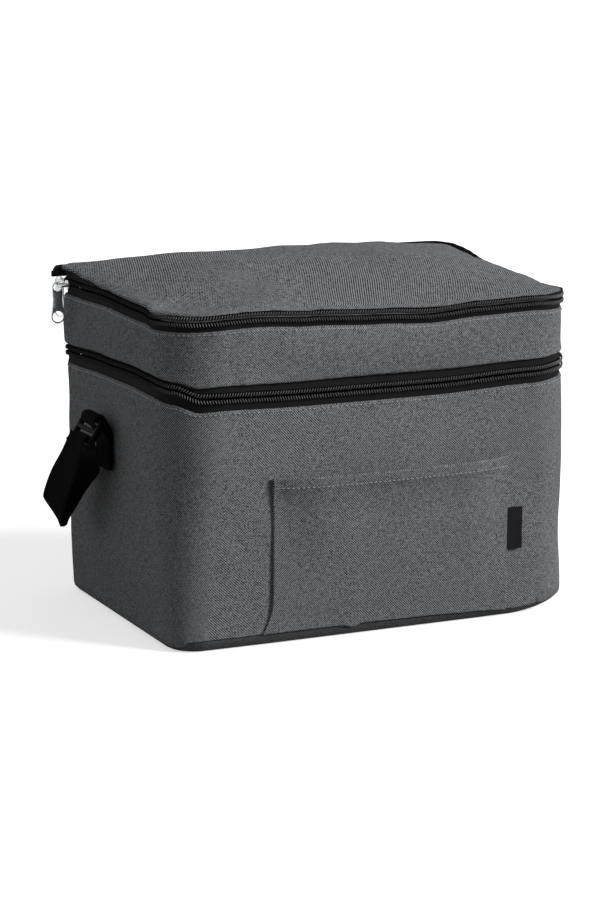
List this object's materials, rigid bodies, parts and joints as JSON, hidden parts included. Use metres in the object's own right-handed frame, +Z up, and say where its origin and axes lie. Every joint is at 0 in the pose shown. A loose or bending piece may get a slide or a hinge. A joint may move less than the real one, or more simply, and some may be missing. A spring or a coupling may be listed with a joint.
{
  "type": "insulated cooler bag",
  "caption": "Insulated soft cooler bag with a main and an upper compartment, zips round both covers, a front pocket and webbing loops with buckles at the sides.",
  "frame": {"origin": "middle of the base, on the surface the bag stands on", "axes": "+X to the bag's right as seen from the front, -Y out of the front pocket, +Z up"},
  "size_m": [0.3396, 0.2117, 0.2234],
  "materials": {
    "cloth": "heather grey twill with a two-tone thread",
    "base": "darker grey twill",
    "foam": "closed-cell insulating foam",
    "foil": "silvery wipe-clean lining film",
    "tape": "black woven zip tape",
    "coil": "black nylon coil",
    "webbing": "black ribbed webbing",
    "plastic": "black moulded plastic",
    "nickel": "nickel-plated zinc",
    "label": "black woven label"
  },
  "bodies": {
    "main_compartment": {"base_panel": "base", "base_foam": "foam", "main_front_and_sides": "cloth", "main_back_panel": "cloth", "main_foam_front": "foam", "main_foam_right": "foam", "main_foam_back": "foam", "main_foam_left": "foam", "main_lining": "foil", "low_zip_lower_tape": "tape", "low_zip_lower_coil": "coil", "front_pocket": "cloth", "pocket_label": "label", "left_strap_tab": "webbing", "right_strap_tab": "webbing"},
    "upper_compartment": {"divider_panel": "cloth", "divider_foam": "foam", "upper_front_and_sides": "cloth", "upper_back_panel": "cloth", "upper_foam_front": "foam", "upper_foam_right": "foam", "upper_foam_back": "foam", "upper_foam_left": "foam", "upper_lining": "foil", "low_zip_upper_tape": "tape", "low_zip_upper_coil": "coil", "top_zip_lower_tape": "tape", "top_zip_lower_coil": "coil", "compartment_hinge": "tape"},
    "lid": {"lid_panel": "cloth", "lid_foam": "foam", "lid_lining": "foil", "top_zip_upper_tape": "tape", "top_zip_upper_coil": "coil", "lid_hinge": "tape"},
    "top_slider_side": {"top_slider_side": "nickel"},
    "top_slider_side_pull": {"top_slider_side_pull": "nickel"},
    "top_slider_corner": {"top_slider_corner": "nickel"},
    "top_slider_corner_pull": {"top_slider_corner_pull": "nickel"},
    "low_slider_side": {"low_slider_side": "nickel"},
    "low_slider_side_pull": {"low_slider_side_pull": "nickel"},
    "low_slider_corner": {"low_slider_corner": "nickel"},
    "low_slider_corner_pull": {"low_slider_corner_pull": "nickel"},
    "left_buckle": {"left_buckle": "plastic"},
    "left_strap_loop": {"left_strap_loop": "webbing"},
    "right_buckle": {"right_buckle": "plastic"},
    "right_strap_loop": {"right_strap_loop": "webbing"}
  },
  "joints": [
    {"name": "compartment_cover", "type": "hinge", "parent": "main_compartment", "child": "upper_compartment", "pos_m": [0, 0.0965, 0.16], "axis": [-1, 0, 0], "range_deg": [0, 105], "deforming": ["compartment_hinge"]},
    {"name": "lid_cover", "type": "hinge", "parent": "upper_compartment", "child": "lid", "pos_m": [0, 0.0965, 0.2045], "axis": [-1, 0, 0], "range_deg": [0, 105], "deforming": ["lid_hinge"]},
    {"name": "top_slider_run", "type": "slide", "parent": "upper_compartment", "child": "top_slider_side", "axis": [0, -1, 0], "range_m": [0, 0.125]},
    {"name": "top_slider_round_corner", "type": "hinge", "parent": "upper_compartment", "child": "top_slider_corner", "pos_m": [-0.126, 0.081, 0.2045], "axis": [0, 0, 1], "range_deg": [0, 25]},
    {"name": "top_slider_side_pull_swing", "type": "hinge", "parent": "top_slider_side", "child": "top_slider_side_pull", "pos_m": [-0.1488, 0.076, 0.2045], "axis": [0, 1, 0], "range_deg": [0, 165]},
    {"name": "top_slider_corner_pull_swing", "type": "hinge", "parent": "top_slider_corner", "child": "top_slider_corner_pull", "pos_m": [-0.13875, 0.0999, 0.2045], "axis": [0.829, 0.5592, 0], "range_deg": [0, 165]},
    {"name": "low_slider_run", "type": "slide", "parent": "main_compartment", "child": "low_slider_side", "axis": [0, -1, 0], "range_m": [0, 0.125]},
    {"name": "low_slider_round_corner", "type": "hinge", "parent": "main_compartment", "child": "low_slider_corner", "pos_m": [0.126, 0.081, 0.16], "axis": [0, 0, -1], "range_deg": [0, 25]},
    {"name": "low_slider_side_pull_swing", "type": "hinge", "parent": "low_slider_side", "child": "low_slider_side_pull", "pos_m": [0.1488, 0.076, 0.16], "axis": [0, -1, 0], "range_deg": [0, 165]},
    {"name": "low_slider_corner_pull_swing", "type": "hinge", "parent": "low_slider_corner", "child": "low_slider_corner_pull", "pos_m": [0.13875, 0.0999, 0.16], "axis": [0.829, -0.5592, 0], "range_deg": [0, 165]},
    {"name": "left_buckle_swing", "type": "hinge", "parent": "main_compartment", "child": "left_buckle", "pos_m": [-0.1505, 0.008, 0.1295], "axis": [0, 1, 0], "range_deg": [0, 70]},
    {"name": "left_strap_loop_swing", "type": "hinge", "parent": "left_buckle", "child": "left_strap_loop", "pos_m": [-0.15834, 0.008, 0.11695], "axis": [0, 1, 0], "range_deg": [-6, 42]},
    {"name": "right_buckle_swing", "type": "hinge", "parent": "main_compartment", "child": "right_buckle", "pos_m": [0.1505, 0.008, 0.1295], "axis": [0, -1, 0], "range_deg": [0, 70]},
    {"name": "right_strap_loop_swing", "type": "hinge", "parent": "right_buckle", "child": "right_strap_loop", "pos_m": [0.15834, 0.008, 0.11695], "axis": [0, -1, 0], "range_deg": [-6, 42]}
  ]
}
